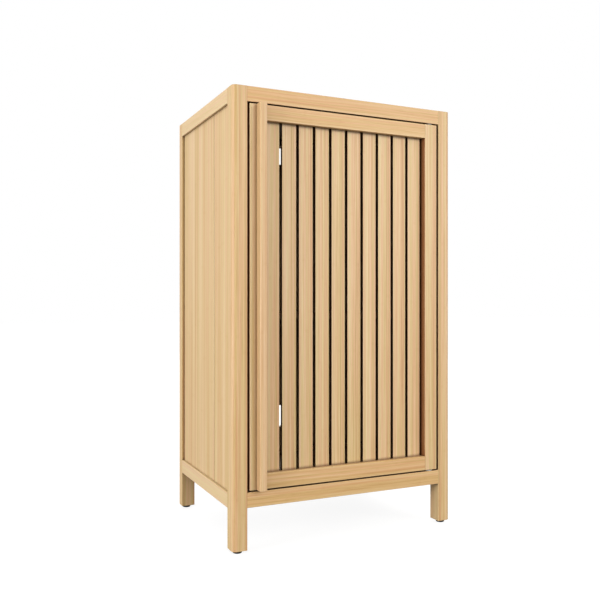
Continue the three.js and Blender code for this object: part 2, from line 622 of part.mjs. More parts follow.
function addPivots() {
  addPart(door, "upper_pivot_pin", pivotPin(DOOR_TOP, "up"), steel);
  addPart(door, "lower_pivot_pin", pivotPin(DOOR_BOTTOM, "down"), steel);
  addPart(carcass, "upper_pivot_bush", pivotBush(TOP_RAIL_UNDER, "up"), whitePlastic);
  addPart(carcass, "lower_pivot_bush", pivotBush(FRONT_RAIL_TOP, "down"), whitePlastic);
}

// ---- Magnetic catch behind the front top rail, and its strike plate on the door ----
function addCatch() {
  const across = spread(CATCH_WIDTH);
  const noseHeights = around(MAGNET_MIDDLE, CATCH_NOSE_HEIGHT);
  const magnet = [
    spread(MAGNET_WIDTH),
    [MAGNET_FACE, MAGNET_FACE + MAGNET_DEPTH],
    around(MAGNET_MIDDLE, MAGNET_HEIGHT),
  ];
  const flange = block(across, [INNER_FRONT, INNER_FRONT + CATCH_FLANGE], [noseHeights[0], CATCH_TOP]);
  const nose = block(across, [MAGNET_FACE + FIT, INNER_FRONT + CATCH_DEPTH], noseHeights);
  const pocket = block(...magnet.map((span) => widen(span, FIT)));
  const body = cutAll(flange.add(nose), [pocket, ...catchScrews(SCREW_SLACK)]);
  addPart(carcass, "catch_body", body, whitePlastic);
  addPart(carcass, "catch_magnet", block(...magnet), ferrite);
  addScrews(carcass, "catch_screw", catchScrews(0));
}

function addStrikePlate() {
  const plate = block(
    spread(STRIKE_WIDTH),
    [DOOR_BACK, STRIKE_FACE],
    around(MAGNET_MIDDLE, STRIKE_HEIGHT),
  );
  addPart(door, "strike_plate", cutAll(plate, strikeScrews(SCREW_SLACK)), steel);
  addScrews(door, "strike_screw", strikeScrews(0));
}

addPosts();
addFrontRails();
addRearRails();
addSideRails();
addSidePanels();
addBackPanel();
addTopAndBottomPanels();
addShelf();
addDoorStiles();
addDoorRails();
addSlats();
addPullBar();
addPivots();
addCatch();
addStrikePlate();

export default cabinet;
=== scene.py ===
"""Looks for the slatted bamboo floor cabinet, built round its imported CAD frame.

Metres, +Z up, -Y is the front. Bamboo pieces and flat hardware are shown by copies of their own
solids with eased edges, and turned hardware by finer turned pieces, each on its CAD node's body.
"""
import json
import math
import random

import bmesh
import bpy
import numpy as np
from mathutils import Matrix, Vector

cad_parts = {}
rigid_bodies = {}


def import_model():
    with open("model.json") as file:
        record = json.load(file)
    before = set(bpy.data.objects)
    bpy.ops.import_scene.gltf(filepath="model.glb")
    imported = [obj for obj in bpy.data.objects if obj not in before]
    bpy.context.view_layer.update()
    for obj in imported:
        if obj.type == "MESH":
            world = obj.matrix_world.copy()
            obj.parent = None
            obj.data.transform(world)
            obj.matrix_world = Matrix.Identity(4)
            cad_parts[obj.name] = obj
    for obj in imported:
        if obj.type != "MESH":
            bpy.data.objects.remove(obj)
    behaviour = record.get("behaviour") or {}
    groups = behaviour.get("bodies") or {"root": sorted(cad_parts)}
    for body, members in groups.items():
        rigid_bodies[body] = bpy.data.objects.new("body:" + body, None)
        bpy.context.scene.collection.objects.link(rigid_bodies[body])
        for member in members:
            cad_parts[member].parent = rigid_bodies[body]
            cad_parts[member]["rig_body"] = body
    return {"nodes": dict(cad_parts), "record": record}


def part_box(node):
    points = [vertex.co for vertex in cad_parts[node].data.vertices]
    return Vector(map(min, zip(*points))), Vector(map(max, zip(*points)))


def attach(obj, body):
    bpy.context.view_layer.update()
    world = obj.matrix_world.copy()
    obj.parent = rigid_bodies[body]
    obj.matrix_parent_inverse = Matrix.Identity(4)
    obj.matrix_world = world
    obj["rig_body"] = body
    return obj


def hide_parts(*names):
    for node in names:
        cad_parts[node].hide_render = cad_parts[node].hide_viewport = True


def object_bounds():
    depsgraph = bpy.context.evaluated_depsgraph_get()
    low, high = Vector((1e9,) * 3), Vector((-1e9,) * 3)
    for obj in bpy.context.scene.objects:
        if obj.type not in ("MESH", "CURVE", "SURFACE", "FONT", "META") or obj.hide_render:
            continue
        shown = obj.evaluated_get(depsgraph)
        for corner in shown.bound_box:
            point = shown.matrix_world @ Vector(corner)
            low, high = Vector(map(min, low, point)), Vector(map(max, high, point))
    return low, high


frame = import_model()
cad_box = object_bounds()

MM = 0.001


def srgb(red, green, blue):
    """A linear colour from 0-255 sRGB values."""
    def linear(value):
        value /= 255
        return value / 12.92 if value <= 0.04045 else ((value + 0.055) / 1.055) ** 2.4
    return (linear(red), linear(green), linear(blue), 1.0)


def grey(value):
    return (value, value, value, 1.0)


# ======== Nodes ========

OPENNESS_SAMPLES = 12


class Nodes:
    """A node tree and short calls that add nodes to it."""

    def __init__(self, tree):
        self.tree = tree

    def add(self, kind, **settings):
        node = self.tree.nodes.new(kind)
        for key, value in settings.items():
            setattr(node, key, value)
        return node

    def feed(self, socket, value):
        """Links a socket to an input, or sets a plain value on it."""
        if isinstance(value, bpy.types.NodeSocket):
            self.tree.links.new(value, socket)
        else:
            socket.default_value = value

    def attribute(self, name, output="Vector"):
        return self.add("ShaderNodeAttribute", attribute_name=name).outputs[output]

    def split(self, vector):
        node = self.add("ShaderNodeSeparateXYZ")
        self.feed(node.inputs[0], vector)
        return node.outputs

    def vector_math(self, operation, first, second):
        node = self.add("ShaderNodeVectorMath", operation=operation)
        self.feed(node.inputs[0], first)
        self.feed(node.inputs[1], second)
        return node.outputs[0]

    def math(self, operation, *values):
        node = self.add("ShaderNodeMath", operation=operation)
        for socket, value in zip(node.inputs, values):
            self.feed(socket, value)
        return node.outputs[0]

    def add_weighted(self, base, terms):
        """base plus weight * (value - 0.5) for each term."""
        total = base
        for value, weight in terms:
            shifted = self.math("SUBTRACT", value, 0.5)
            total = self.math("MULTIPLY_ADD", shifted, weight, total)
        return total

    def noise(self, vector, scale, detail):
        """Noise over a vector stretched by a scale for each axis."""
        node = self.add("ShaderNodeTexNoise")
        self.feed(node.inputs["Vector"], self.vector_math("MULTIPLY", vector, scale))
        node.inputs["Scale"].default_value = 1.0
        node.inputs["Detail"].default_value = detail
        return node.outputs["Fac"]

    def ramp(self, factor, stops):
        node = self.add("ShaderNodeValToRGB")
        elements = node.color_ramp.elements
        while len(elements) < len(stops):
            elements.new(0.5)
        for element, (place, colour) in zip(elements, stops):
            element.position = place
            element.color = colour
        self.feed(node.inputs["Fac"], factor)
        return node.outputs["Color"]

    def grey_ramp(self, factor, stops):
        return self.ramp(factor, [(place, grey(value)) for place, value in stops])

    def mix(self, factor, first, second, blend="MIX"):
        node = self.add("ShaderNodeMix", data_type="RGBA", blend_type=blend)
        factor_socket, first_socket, second_socket = (node.inputs[number] for number in (0, 6, 7))
        self.feed(factor_socket, factor)
        self.feed(first_socket, first)
        self.feed(second_socket, second)
        return node.outputs[2]

    def choose(self, switch, off, on):
        """off where the switch is 0, and on where it is 1."""
        node = self.add("ShaderNodeMapRange")
        self.feed(node.inputs["Value"], switch)
        self.feed(node.inputs["To Min"], off)
        self.feed(node.inputs["To Max"], on)
        return node.outputs["Result"]

    def openness(self, reach):
        """1 in the open, falling as other surfaces come within reach."""
        node = self.add("ShaderNodeAmbientOcclusion", samples=OPENNESS_SAMPLES)
        node.inputs["Distance"].default_value = reach
        return node.outputs["AO"]


class Shader(Nodes):
    """The nodes of a new material."""

    def __init__(self, name):
        self.material = bpy.data.materials.new(name)
        self.material.use_nodes = True
        super().__init__(self.material.node_tree)
        self.surface = self.tree.nodes["Principled BSDF"]

    def give(self, **values):
        """Feeds the surface's inputs, named with _ for each space."""
        for name, value in values.items():
            self.feed(self.surface.inputs[name.replace("_", " ")], value)

    def bump(self, height, strength, distance):
        node = self.add("ShaderNodeBump")
        node.inputs["Strength"].default_value = strength
        node.inputs["Distance"].default_value = distance
        self.feed(node.inputs["Height"], height)
        self.give(Normal=node.outputs["Normal"])


# ======== Bamboo ========

# Its colours from dark to pale, in a yellower and a pinker run.
VERTICAL_TONES = (
    [(0.0, srgb(194, 156, 98)), (0.5, srgb(217, 186, 130)), (1.0, srgb(234, 209, 162))],
    [(0.0, srgb(202, 151, 103)), (0.5, srgb(222, 181, 134)), (1.0, srgb(235, 203, 163))],
)
RAIL_TONES = (
    [(0.0, srgb(196, 151, 90)), (0.5, srgb(218, 179, 120)), (1.0, srgb(233, 201, 150))],
    [(0.0, srgb(203, 147, 93)), (0.5, srgb(222, 176, 124)), (1.0, srgb(233, 198, 152))],
)

# Tone across a piece's width, from its left or lower edge, as its glued strips run.
LIGHT_THEN_DARK = [
    (0.0, 0.66), (0.34, 0.68), (0.4, 0.58), (0.6, 0.58), (0.66, 0.38), (0.94, 0.4), (1.0, 0.5),
]
# The dip from 0.03 to 0.32, over the left posts' rounded outer corners, is painted shade.
POST_RUN = [
    (0.0, 0.62), (0.03, 0.5), (0.09, 0.28), (0.2, 0.32), (0.32, 0.5), (0.4, 0.5), (0.5, 0.38),
    (0.58, 0.5), (0.8, 0.5), (0.86, 0.24), (1.0, 0.2),
]
BAR_RUN = [(0.0, 0.85), (0.1, 0.62), (1.0, 0.6)]
RAIL_RUN = [(0.0, 0.8), (0.12, 0.66), (0.22, 0.5), (0.6, 0.46), (0.85, 0.56), (1.0, 0.6)]
SIDE_RAIL_TONE = 0.95
PANEL_TONE = 0.7

# The widths of the glued strips.
STRIP = 5.6 * MM
PANEL_STRIP = 18 * MM
STRIP_LENGTH = 4.0              # past where any piece's figure ends, so that no strip ends in one

# Its figure: how many times each noise repeats in a metre (across, depth, along).
FIBRE = (1500, 1500, 22)
STREAK = (420, 420, 4)
BAND = (95, 95, 1.3)
HUE = (260, 260, 1.6)
DRIFT = (40, 40, 9)
PORES = (1100, 1100, 1)
DRIFT_REACH = 3 * MM            # how far the fibres of a rail drift sideways
HUE_EDGE = [(0.45, 0.0), (0.55, 1.0)]

# How much of the tone each of them moves.
STRIP_WEIGHT = 0.14
FIBRE_WEIGHT = 0.8
STREAK_WEIGHT = 1.3
BAND_WEIGHT = 0.25
PANEL_BAND_WEIGHT = 0.7
KNUCKLE_WEIGHT = 0.06

KNUCKLE_SPACING = 0.26          # between a culm's nodes along one strip
KNUCKLE_HEIGHT = 4 * MM

# Satin lacquer over it, through which the fibres still show.
ROUGHNESS = 0.5
FIBRE_ROUGHNESS = 0.22
STREAK_ROUGHNESS = 0.1
LACQUER = {"Specular_IOR_Level": 0.4, "Coat_Weight": 0.12, "Coat_Roughness": 0.35}
FIBRE_RELIEF = 0.7
STREAK_RELIEF = 0.3
RELIEF_STRENGTH = 0.25
RELIEF_HEIGHT = 0.2 * MM

# What the faces across a piece's width are multiplied by: painted shade, or a dark joint on the boards.
SLAT_GAP_SHADE = (0.04, 0.022, 0.018, 1)     # painted shade, almost black, as the slats' gaps are
STILE_EDGE_SHADE = (0.36, 0.2, 0.12, 1)       # painted shade, browner, but only beside other pieces
BAR_SIDE_SHADE = (0.8, 0.7, 0.63, 1)          # painted shade, a little browner on the bar's sides
BOARD_EDGE = (0.2, 0.13, 0.09, 1)       # a line where two boards meet
# How close other pieces must come for the stile's painted edge shade to show.
SHELTER_REACH = 25 * MM
SHELTERED = [(0.78, 1.0), (0.98, 0.0)]

# End grain: its pores, and how much of their colour the ground between them takes.
PORE = srgb(150, 108, 66)
PORE_DOTS = [(0.2, 0.55), (0.34, 0.0)]
END_SHADE = 0.22

# Painted shade on the wood, in tight gaps and along inner corners.
CORNER_SHADE = srgb(84, 44, 18)
CORNER_SHADE_REACH = 6.5 * MM
CORNER_SHADE_DEPTH = [(0.3, 0.97), (0.6, 0.65), (0.9, 0.0)]


def even(tone):
    """The same tone all the way across."""
    return [(0.0, tone), (1.0, tone)]


def scaled(values, factor):
    return tuple(value * factor for value in values)


def bamboo(
    name, run, tones=VERTICAL_TONES, strip=STRIP, band=BAND_WEIGHT, coarse=1.0, figure=1.0,
    drift=0.0, corners=1.0, edge=None, sheltered=False,
):
    """Edge-glued bamboo strips under satin lacquer.

    Attributes on the mesh: grain (across, depth, along, in metres), place (the same from 0 to 1),
    end_grain (1 on the faces that cut across the fibres) and edge_face (1 on the faces across the
    width). run is the tone across the width, band the weight of the broad bands, and drift how far
    the fibres wander. coarse widens the streaks, figure strengthens them and the fibres, and
    corners is how much painted shade darkens the tight gaps and inner corners.
    """
    shader = Shader(name)
    grain = shader.attribute("grain")
    if drift:
        grain = drifting(shader, grain, drift)
    fibre = shader.noise(grain, FIBRE, detail=3)
    streak = shader.noise(grain, scaled(STREAK, 1 / coarse), detail=3)
    strips = glued_strips(shader, grain, strip)
    tone = shader.add_weighted(tone_across(shader, run), [
        (strips, STRIP_WEIGHT),
        (fibre, FIBRE_WEIGHT * figure),
        (streak, STREAK_WEIGHT * figure),
        (shader.noise(grain, BAND, detail=1), band),
        (knuckles(shader, grain, strips), KNUCKLE_WEIGHT),
    ])
    side = two_hues(shader, grain, tone, tones)
    # The faces across the width: painted shade on slats, stiles and the pull bar; a joint line on boards.
    if edge:
        side = on_edges(shader, side, edge, sheltered)
    # Painted shade in tight gaps and along inner corners.
    if corners:
        side = painted_corner_shade(shader, side, corners)
    ends = end_grain(shader, grain, side)
    shader.give(
        Base_Color=shader.mix(shader.attribute("end_grain", "Fac"), side, ends),
        Roughness=shader.add_weighted(
            ROUGHNESS, [(fibre, FIBRE_ROUGHNESS), (streak, STREAK_ROUGHNESS)],
        ),
        **LACQUER,
    )
    relief = shader.add_weighted(0.5, [(fibre, FIBRE_RELIEF), (streak, STREAK_RELIEF)])
    shader.bump(relief, RELIEF_STRENGTH, RELIEF_HEIGHT)
    return shader.material


def drifting(shader, grain, reach):
    """Fibres that drift slowly sideways along a piece."""
    drift = shader.noise(grain, DRIFT, detail=1)
    sideways = shader.add("ShaderNodeCombineXYZ")
    shader.feed(sideways.inputs["X"], shader.math("MULTIPLY", drift, reach))
    return shader.vector_math("ADD", grain, sideways.outputs[0])


def tone_across(shader, run):
    """The run's tone at each place across the width."""
    place = shader.split(shader.attribute("place"))
    return shader.grey_ramp(place["X"], run)


def glued_strips(shader, grain, strip):
    """A random value for each glued strip."""
    cells = shader.vector_math("DIVIDE", grain, (strip, strip, STRIP_LENGTH))
    cells = shader.vector_math("FLOOR", cells, (0, 0, 0))
    node = shader.add("ShaderNodeTexWhiteNoise", noise_dimensions="3D")
    shader.feed(node.inputs["Vector"], cells)
    return node.outputs["Value"]


def knuckles(shader, grain, strips):
    """1, falling to 0 in the thin bands where a culm's nodes cross each strip."""
    along = shader.split(grain)["Z"]
    turns = shader.math("MULTIPLY_ADD", along, 1 / KNUCKLE_SPACING, strips)
    beside = shader.math("PINGPONG", turns, 0.5)
    reach = KNUCKLE_HEIGHT / KNUCKLE_SPACING
    return shader.grey_ramp(beside, [(0.0, 0.0), (reach * 0.5, 0.25), (reach, 1.0)])


def two_hues(shader, grain, tone, tones):
    """The tone's colour, in stretches of the one run and of the other."""
    hue = shader.grey_ramp(shader.noise(grain, HUE, detail=2), HUE_EDGE)
    yellower, pinker = (shader.ramp(tone, stops) for stops in tones)
    return shader.mix(hue, yellower, pinker)


def on_edges(shader, side, edge, sheltered):
    """The faces across the width, multiplied by edge, everywhere or only beside other pieces."""
    amount = shader.attribute("edge_face", "Fac")
    # The stile's painted shade shows only where other pieces come close.
    if sheltered:
        shelter = shader.grey_ramp(shader.openness(SHELTER_REACH), SHELTERED)
        amount = shader.math("MULTIPLY", amount, shelter)
    # Painted shade on slats, stiles and the pull bar; a dark joint line on boards.
    return shader.mix(amount, side, edge, "MULTIPLY")


def painted_corner_shade(shader, side, amount):
    """Painted shade: the wood goes over to the corner colour as other surfaces come close."""
    depth = [(openness, share * amount) for openness, share in CORNER_SHADE_DEPTH]
    return shader.mix(shader.grey_ramp(shader.openness(CORNER_SHADE_REACH), depth), side, CORNER_SHADE)


def end_grain(shader, grain, side):
    """Cut fibres: a darker ground with small round pores."""
    pores = shader.add("ShaderNodeTexVoronoi", voronoi_dimensions="3D", feature="F1")
    shader.feed(pores.inputs["Vector"], shader.vector_math("MULTIPLY", grain, PORES))
    pores.inputs["Scale"].default_value = 1.0
    dots = shader.grey_ramp(pores.outputs["Distance"], PORE_DOTS)
    ground = shader.mix(END_SHADE, side, PORE)
    return shader.mix(dots, ground, PORE)


def wide_board(name, edge=None):
    """Wider strips with softer and broader figure, as the flat boards have."""
    return bamboo(
        name, even(PANEL_TONE), strip=PANEL_STRIP, band=PANEL_BAND_WEIGHT,
        coarse=3.4, figure=0.9, corners=0.3, edge=edge,
    )


POST_WOOD = bamboo("bamboo_post", POST_RUN)
STILE_WOOD = bamboo(
    "bamboo_stile", LIGHT_THEN_DARK, corners=0.65, edge=STILE_EDGE_SHADE, sheltered=True,
)
BAR_WOOD = bamboo("bamboo_bar", BAR_RUN, corners=0, edge=BAR_SIDE_SHADE)
SLAT_WOOD = bamboo("bamboo_slat", LIGHT_THEN_DARK, edge=SLAT_GAP_SHADE)
RAIL_WOOD = bamboo("bamboo_rail", RAIL_RUN, tones=RAIL_TONES, drift=DRIFT_REACH, figure=1.15)
SIDE_RAIL_WOOD = bamboo("bamboo_side_rail", even(SIDE_RAIL_TONE), drift=DRIFT_REACH, corners=0.4)
PANEL_WOOD = wide_board("bamboo_panel")
BOARD_WOOD = wide_board("bamboo_board", edge=BOARD_EDGE)


# ======== Plastic and metal ========

# How many times each noise repeats in a metre.
MOULD_GRAIN = (2600, 2600, 2600)
MOULD_CLOUD = (90, 90, 90)
SCUFFS = (1800, 1800, 300)
METAL_CLOUD = (240, 240, 240)
METAL_SHADE = 0.72              # its darker patches, as a share of its colour
FINE_RELIEF_HEIGHT = 0.05 * MM


def moulded(name, colour, roughness, speckle):
    """Moulded plastic with a fine matt texture, clouded up to speckle times its colour."""
    shader = Shader(name)
    place = shader.add("ShaderNodeTexCoord").outputs["Object"]
    grain = shader.noise(place, MOULD_GRAIN, detail=2)
    cloud = shader.noise(place, MOULD_CLOUD, detail=2)
    paler = tuple(min(1, channel * speckle) for channel in colour[:3]) + (1,)
    shader.give(
        Base_Color=shader.mix(cloud, colour, paler),
        Roughness=shader.add_weighted(roughness, [(grain, 0.15)]),
    )
    shader.bump(grain, 0.2, FINE_RELIEF_HEIGHT)
    return shader.material


def metal(name, colour, roughness, metallic):
    """Plated or sintered metal with faint scuffs."""
    shader = Shader(name)
    place = shader.add("ShaderNodeTexCoord").outputs["Object"]
    scuffs = shader.noise(place, SCUFFS, detail=3)
    cloud = shader.noise(place, METAL_CLOUD, detail=2)
    darker = scaled(colour[:3], METAL_SHADE) + (1,)
    shader.give(
        Base_Color=shader.mix(cloud, darker, colour),
        Roughness=shader.add_weighted(roughness, [(scuffs, 0.25)]),
        Metallic=metallic,
    )
    shader.bump(scuffs, 0.1, FINE_RELIEF_HEIGHT)
    return shader.material


BLACK = moulded("black_plastic", srgb(24, 24, 26), roughness=0.55, speckle=1.6)
WHITE = moulded("white_plastic", srgb(229, 226, 218), roughness=0.45, speckle=1.06)
STEEL = metal("zinc_steel", (0.48, 0.49, 0.5, 1), roughness=0.34, metallic=1.0)
FERRITE = metal("ferrite", (0.045, 0.045, 0.05, 1), roughness=0.6, metallic=0.3)


# ======== Pieces ========

EASE_SEGMENTS = 3
SHARP_ANGLE = math.radians(40)
FLAT_ANGLE = math.radians(0.5)  # triangles that meet at less are one flat face
SAME_POINT = 1e-6
ON_PLANE = 2e-6                 # how far a point may stand out of a plane and still be on it
SQUARISH = 0.6                  # a section at least this square shows its grain on every side
CROSSWISE = 0.8                 # how squarely a face must look along an axis to count as across it
BOARD_CROSSWISE = 0.6           # the same for a side board, so that its eased edge counts too

# Each piece's figure starts at its own place in the bamboo: up to so far along, and some steps
# across, each as wide as ten strips.
REACH_ALONG = 3.0
STEPS_ACROSS = 40
STEP_ACROSS = 56 * MM

SLOTS = {part["node"]: part["material_slot"] for part in frame["record"]["subparts"]}


def body_of(node):
    return frame["nodes"][node]["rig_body"]


def finish_piece(piece, node, material):
    """Puts a finished piece on its node's body, in its node's place and slot."""
    piece.data.materials.clear()
    piece.data.materials.append(material)
    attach(piece, body_of(node))
    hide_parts(node)


def new_object(name, data):
    thing = bpy.data.objects.new(name, data)
    bpy.context.scene.collection.objects.link(thing)
    return thing


def apply_modifiers(piece):
    graph = bpy.context.evaluated_depsgraph_get()
    mesh = bpy.data.meshes.new_from_object(piece.evaluated_get(graph))
    piece.modifiers.clear()
    piece.data = mesh


def clean_solid(node):
    """The node's solid as a bmesh, its triangles joined into flat faces."""
    solid = bmesh.new()
    solid.from_mesh(frame["nodes"][node].data)
    bmesh.ops.remove_doubles(solid, verts=solid.verts, dist=SAME_POINT)
    bmesh.ops.dissolve_limit(
        solid, angle_limit=FLAT_ANGLE, use_dissolve_boundaries=False,
        verts=solid.verts, edges=solid.edges,
    )
    solid.normal_update()
    return solid


def outermost_faces(solid):
    """The faces that the whole solid lies behind."""
    points = np.array([vert.co for vert in solid.verts])
    outer = set()
    for face in solid.faces:
        normal = np.array(face.normal)
        level = float(normal @ np.array(face.verts[0].co))
        if (points @ normal).max() <= level + ON_PLANE:
            outer.add(face)
    return outer


def mark_edges(solid):
    """Outer edges are to be eased, and the other sharp ones kept sharp."""
    outer = outermost_faces(solid)
    weights = solid.edges.layers.float.new("bevel_weight_edge")
    for edge in solid.edges:
        folded = edge.calc_face_angle(0.0) > SHARP_ANGLE
        eased = folded and all(face in outer for face in edge.link_faces)
        edge[weights] = 1.0 if eased else 0.0
        edge.smooth = eased or not folded
    for face in solid.faces:
        face.smooth = True


def eased_copy(node, ease):
    """A copy of a node's solid with its outer edges rounded."""
    solid = clean_solid(node)
    mark_edges(solid)
    mesh = bpy.data.meshes.new(f"{node}.eased")
    solid.to_mesh(mesh)
    solid.free()
    piece = new_object(f"{node}.eased", mesh)
    bevel = piece.modifiers.new("ease", "BEVEL")
    bevel.limit_method = "WEIGHT"
    bevel.width = ease
    bevel.segments = EASE_SEGMENTS
    bevel.use_clamp_overlap = False
    bevel.harden_normals = False
    apply_modifiers(piece)
    keep_in_box(piece.data, node)
    even = piece.modifiers.new("even_normals", "WEIGHTED_NORMAL")
    even.keep_sharp = True
    apply_modifiers(piece)
    return piece


def keep_in_box(mesh, node):
    """No rounded corner may stand out of its node's box."""
    low, high = (np.array(corner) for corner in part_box(node))
    points = np.clip(np.array([vert.co for vert in mesh.vertices]), low, high)
    mesh.vertices.foreach_set("co", points.astype(np.float32).ravel())
    mesh.update()


def grain_axes(low, high):
    """Axis numbers (across, depth, along). The grain runs along the longest side."""
    size = high - low
    along = max(range(3), key=lambda axis: size[axis])
    thin, wide = sorted((axis for axis in range(3) if axis != along), key=lambda axis: size[axis])
    if size[thin] > SQUARISH * size[wide]:
        facing = 0 if along == 2 else 2
        thin, wide = ({thin, wide} - {facing}).pop(), facing
    return wide, thin, along


def add_grain(piece, node):
    """Writes the attributes that the bamboo material reads."""
    low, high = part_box(node)
    axes = grain_axes(low, high)
    mesh = piece.data
    points = np.array([vert.co for vert in mesh.vertices])[:, axes]
    start = np.array(low)[list(axes)]
    extent = np.array(high)[list(axes)] - start
    chance = random.Random(node)
    shift = np.array([0.0, 0.0, chance.uniform(0, REACH_ALONG)])
    shift[:2] += chance.randrange(STEPS_ACROSS) * STEP_ACROSS
    write_vectors(mesh, "grain", points - start + shift)
    write_vectors(mesh, "place", (points - start) / extent)
    crosswise = BOARD_CROSSWISE if "board" in node else CROSSWISE
    normals = np.array([face.normal for face in mesh.polygons])
    for name, axis in (("end_grain", axes[2]), ("edge_face", axes[0])):
        level = (np.abs(normals[:, axis]) > crosswise).astype(np.float32)
        mesh.attributes.new(name, "FLOAT", "FACE").data.foreach_set("value", level)


def write_vectors(mesh, name, values):
    layer = mesh.attributes.new(name, "FLOAT_VECTOR", "POINT")
    layer.data.foreach_set("vector", values.astype(np.float32).ravel())


def wood_piece(node, ease, material):
    """An eased copy of a bamboo node, with its grain."""
    piece = eased_copy(node, ease)
    add_grain(piece, node)
    finish_piece(piece, node, material)


# The words in a bamboo node's name, and how far its edges are eased and what it is made of.
WOODS = [
    (("post",), 0.5 * MM, POST_WOOD),
    (("slat",), 0.5 * MM, SLAT_WOOD),
    (("stile",), 0.8 * MM, STILE_WOOD),
    (("pull_bar",), 1.1 * MM, BAR_WOOD),
    (("left", "rail"), 0.9 * MM, SIDE_RAIL_WOOD),
    (("right", "rail"), 0.9 * MM, SIDE_RAIL_WOOD),
    (("rail",), 0.9 * MM, RAIL_WOOD),
    (("board",), 1.3 * MM, BOARD_WOOD),
    (("shelf",), 1.0 * MM, PANEL_WOOD),
    (("panel",), 0.4 * MM, PANEL_WOOD),
]


def wood_of(node):
    """(ease, material): the first of the woods whose words are all in the node's name."""
    return next((ease, wood) for words, ease, wood in WOODS if all(word in node for word in words))


def make_wood():
    for node, slot in SLOTS.items():
        if slot.startswith("bamboo"):
            wood_piece(node, *wood_of(node))


# ---- Turned hardware: (distance from the first end, radius) in mm ----
TURNS = 60                      # sides of a turned piece; a multiple of 6 for its hexagon sockets

FOOT_PAD = [
    (0, 0), (0, 5.9), (0.25, 6.7), (0.8, 7.3), (1.6, 7.5), (4.4, 7.5), (4.8, 7.35), (5, 7),
    (5, 3), (16.4, 3), (17, 2.4), (17, 0),
]
SHELF_PIN = [(0, 0), (0, 2.5), (0.2, 2.85), (0.5, 3), (19.5, 3), (19.8, 2.85), (20, 2.5), (20, 0)]
PIVOT_PIN = [
    (0, 0), (0, 2.6), (0.4, 3), (20, 3), (20, 5.3), (20.1, 5.5), (20.65, 5.5), (20.75, 5.3),
    (20.75, 3), (27, 3), (27.6, 2.75), (28, 2), (28, 0),
]
PIVOT_BUSH = [
    (0, 3.5), (0, 6.7), (0.15, 6.95), (0.3, 7), (0.8, 7), (1, 6.8), (1, 5), (9.6, 5), (10, 4.6),
    (10, 3.15), (0.35, 3.15), (0, 3.5),
]

SCREW_RIM = 0.5                 # the straight rim of a screw's head, in mm
RIM_EASE = 0.15
SOCKET_FLOOR = 0.9              # the floor of a screw's socket, as a share of its mouth


def countersunk(head, shank, depth, length, tip, socket):
    """A screw from the head's face: its socket, flat face, thin rim, cone, shank and tip."""
    return [
        (socket, 0), (socket, socket * SOCKET_FLOOR), (0, socket),
        (0, head - RIM_EASE), (RIM_EASE, head), (SCREW_RIM, head),
        (depth, shank), (length - tip, shank), (length, shank * 0.5), (length, 0),
    ]


BAR_SCREW = countersunk(head=4, shank=2, depth=3, length=27, tip=4, socket=1.9)
CATCH_SCREW = countersunk(head=3, shank=1.5, depth=1.5, length=12, tip=3, socket=1.2)
STRIKE_SCREW = countersunk(head=3, shank=1.5, depth=1.5, length=9, tip=3, socket=1.2)
HEXAGONAL_POINTS = (1, 2)       # the points of a screw's profile that make its socket


def hexagon(turn):
    """How far out a hexagon of unit corner radius reaches at a turn."""
    sixth = math.pi / 3
    return math.cos(sixth / 2) / math.cos(turn % sixth - sixth / 2)


def add_ring(solid, centre, radius, axis, hexagonal):
    """The points of a ring round an axis, or its centre alone where it has no radius."""
    first, second = (number for number in range(3) if number != axis)
    ring = []
    for number in range(TURNS if radius else 1):
        turn = 2 * math.pi * number / TURNS
        reach = radius * hexagon(turn) if hexagonal else radius
        place = list(centre)
        place[first] += reach * math.cos(turn)
        place[second] += reach * math.sin(turn)
        ring.append(solid.verts.new(place))
    return ring


def turned(name, profile, start, axis, direction, socket):
    """A solid of revolution from a point along an axis. A closed profile makes a ring."""
    solid = bmesh.new()
    rings = []
    for number, (distance, radius) in enumerate(profile):
        centre = list(start)
        centre[axis] += direction * distance * MM
        hexagonal = socket and number in HEXAGONAL_POINTS
        rings.append(add_ring(solid, centre, radius * MM, axis, hexagonal))
    for first, second in zip(rings, rings[1:]):
        join_rings(solid, first, second)
    bmesh.ops.remove_doubles(solid, verts=solid.verts, dist=SAME_POINT)
    bmesh.ops.recalc_face_normals(solid, faces=solid.faces)
    mesh = bpy.data.meshes.new(name)
    solid.to_mesh(mesh)
    solid.free()
    mesh.shade_smooth()
    mesh.set_sharp_from_angle(angle=SHARP_ANGLE)
    return new_object(name, mesh)


def join_rings(solid, first, second):
    """Quads between two rings, or a fan where one of them is a point."""
    for number in range(TURNS):
        following = (number + 1) % TURNS
        corners = [first[number % len(first)], first[following % len(first)]]
        corners += [second[following % len(second)], second[number % len(second)]]
        corners = list(dict.fromkeys(corners))
        if len(corners) > 2:
            solid.faces.new(corners)


def turned_piece(node, profile, axis, direction, material, socket):
    """A turned piece along the middle of its node's box, from its low or its high end."""
    low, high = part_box(node)
    start = [(a + b) / 2 for a, b in zip(low, high)]
    start[axis] = low[axis] if direction > 0 else high[axis]
    finish_piece(turned(f"{node}.turned", profile, start, axis, direction, socket), node, material)


# Words in a node's name: profile, axis number, direction, material, and whether it has a socket.
TURNED = {
    "foot_pad": (FOOT_PAD, 2, 1, BLACK, False),
    "shelf_pin": (SHELF_PIN, 0, 1, STEEL, False),
    "upper_pivot_pin": (PIVOT_PIN, 2, 1, STEEL, False),
    "lower_pivot_pin": (PIVOT_PIN, 2, -1, STEEL, False),
    "upper_pivot_bush": (PIVOT_BUSH, 2, 1, WHITE, False),
    "lower_pivot_bush": (PIVOT_BUSH, 2, -1, WHITE, False),
    "pull_bar_screw": (BAR_SCREW, 1, -1, STEEL, True),
    "catch_screw": (CATCH_SCREW, 1, -1, STEEL, True),
    "strike_screw": (STRIKE_SCREW, 1, -1, STEEL, True),
}
